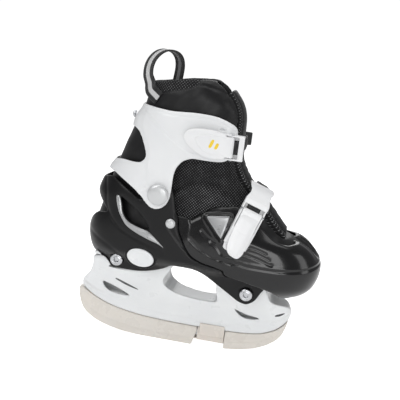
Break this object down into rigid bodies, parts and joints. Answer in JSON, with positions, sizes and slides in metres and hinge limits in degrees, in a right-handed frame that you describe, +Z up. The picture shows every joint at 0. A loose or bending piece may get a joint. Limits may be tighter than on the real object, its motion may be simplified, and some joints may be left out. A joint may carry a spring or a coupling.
{
  "type": "adjustable ice hockey skate",
  "caption": "Child's adjustable hard-shell ice skate for the right foot with hinged cuff, padded liner, ratchet buckles and a slide-on blade guard.",
  "frame": {"origin": "on the flat tread of the blade guard's rear half, in the skate's middle plane, 24 mm behind the lower end of that half, where the link clip begins", "axes": "+X to the toe, +Y to the inner side of the foot, +Z up from the tread"},
  "size_m": [0.261, 0.1103, 0.3144],
  "materials": {
    "shell_black": "satin black nylon",
    "toe_gloss_black": "high gloss black nylon",
    "white_plastic": "white injection-moulded plastic",
    "buckle_white": "white acetal",
    "runner_steel": "ground stainless steel",
    "guard_cream": "slightly translucent cream plastic",
    "liner_fabric": "black spacer mesh over foam",
    "collar_leather": "black synthetic leather over foam",
    "insole_foam": "dark brushed foam",
    "webbing": "black webbing with a pale woven stripe",
    "strap_black": "black ladder strap",
    "silver_trim": "silver-grey moulded trim",
    "rivet_silver": "silver-white enamelled rivet",
    "zinc_steel": "zinc-plated steel"
  },
  "bodies": {
    "chassis": {"rear_shell": "shell_black", "blade_holder": "white_plastic", "steel_runner": "runner_steel", "liner_foot": "liner_fabric", "tongue_lower": "liner_fabric", "insole": "insole_foam", "vent_trim_outer": "silver_trim", "vent_trim_inner": "silver_trim", "rear_bolt": "zinc_steel", "rear_bolt_nut": "zinc_steel", "front_bolt": "zinc_steel", "front_bolt_nut": "zinc_steel", "pivot_bush_outer": "zinc_steel", "pivot_bush_inner": "zinc_steel", "guide_rivet_outer": "rivet_silver", "guide_rivet_inner": "rivet_silver", "button_spring": "zinc_steel"},
    "cuff_assembly": {"cuff": "white_plastic", "liner_collar": "collar_leather", "tongue_upper": "collar_leather", "pull_loop": "webbing", "pivot_rivet_outer": "rivet_silver", "pivot_rivet_inner": "rivet_silver", "ankle_buckle_base": "buckle_white", "ankle_lever_pin": "zinc_steel", "ankle_pawl_pin": "zinc_steel", "ankle_base_rivet_rear": "zinc_steel", "ankle_base_rivet_front": "zinc_steel", "ankle_ladder_strap": "strap_black", "ankle_strap_anchor": "zinc_steel", "cuff_rear_screw": "zinc_steel"},
    "toe_assembly": {"toe_shell": "toe_gloss_black", "toe_trim_outer": "silver_trim", "toe_trim_inner": "silver_trim", "instep_buckle_base": "buckle_white", "instep_lever_pin": "zinc_steel", "instep_pawl_pin": "zinc_steel", "instep_base_rivet_rear": "zinc_steel", "instep_base_rivet_front": "zinc_steel", "instep_ladder_strap": "strap_black", "instep_strap_anchor": "zinc_steel"},
    "ankle_lever": {"ankle_buckle_lever": "buckle_white"},
    "ankle_pawl": {"ankle_release_pawl": "buckle_white"},
    "instep_lever": {"instep_buckle_lever": "buckle_white"},
    "instep_pawl": {"instep_release_pawl": "buckle_white"},
    "button": {"size_button": "white_plastic"},
    "guard_rear": {"guard_rear_half": "guard_cream", "guard_link_clip": "guard_cream"},
    "guard_front": {"guard_front_half": "guard_cream"}
  },
  "joints": [
    {"name": "cuff_flex", "type": "hinge", "parent": "chassis", "child": "cuff_assembly", "pos_m": [-0.023, 0, 0.171], "axis": [0, 1, 0], "range_deg": [-3, 10], "stiffness_Nm_per_rad": 8},
    {"name": "toe_extend", "type": "slide", "parent": "chassis", "child": "toe_assembly", "axis": [1, 0, 0], "range_m": [0, 0.02]},
    {"name": "size_button_press", "type": "slide", "parent": "chassis", "child": "button", "axis": [0, 1, 0], "range_m": [0, 0.0018], "stiffness_N_per_m": 600, "deforming": ["button_spring"]},
    {"name": "ankle_lever_open", "type": "hinge", "parent": "cuff_assembly", "child": "ankle_lever", "pos_m": [0.045, -0.0514, 0.229], "axis": [0, 0, 1], "range_deg": [0, 100]},
    {"name": "ankle_pawl_release", "type": "hinge", "parent": "cuff_assembly", "child": "ankle_pawl", "pos_m": [0.035, -0.0503, 0.229], "axis": [0, 0, 1], "range_deg": [0, 4], "stiffness_Nm_per_rad": 0.01},
    {"name": "instep_lever_open", "type": "hinge", "parent": "toe_assembly", "child": "instep_lever", "pos_m": [0.07351, -0.04559, 0.16655], "axis": [-0.9241, -0.1479, 0.3523], "range_deg": [0, 100]},
    {"name": "instep_pawl_release", "type": "hinge", "parent": "toe_assembly", "child": "instep_pawl", "pos_m": [0.0701, -0.04669, 0.15715], "axis": [-0.9241, -0.1479, 0.3523], "range_deg": [0, 4], "stiffness_Nm_per_rad": 0.01},
    {"name": "guard_rear_slide", "type": "slide", "parent": "chassis", "child": "guard_rear", "axis": [-1, 0, 0], "range_m": [0, 0.025]},
    {"name": "guard_front_slide", "type": "slide", "parent": "chassis", "child": "guard_front", "axis": [1, 0, 0], "range_m": [0, 0.025]}
  ]
}
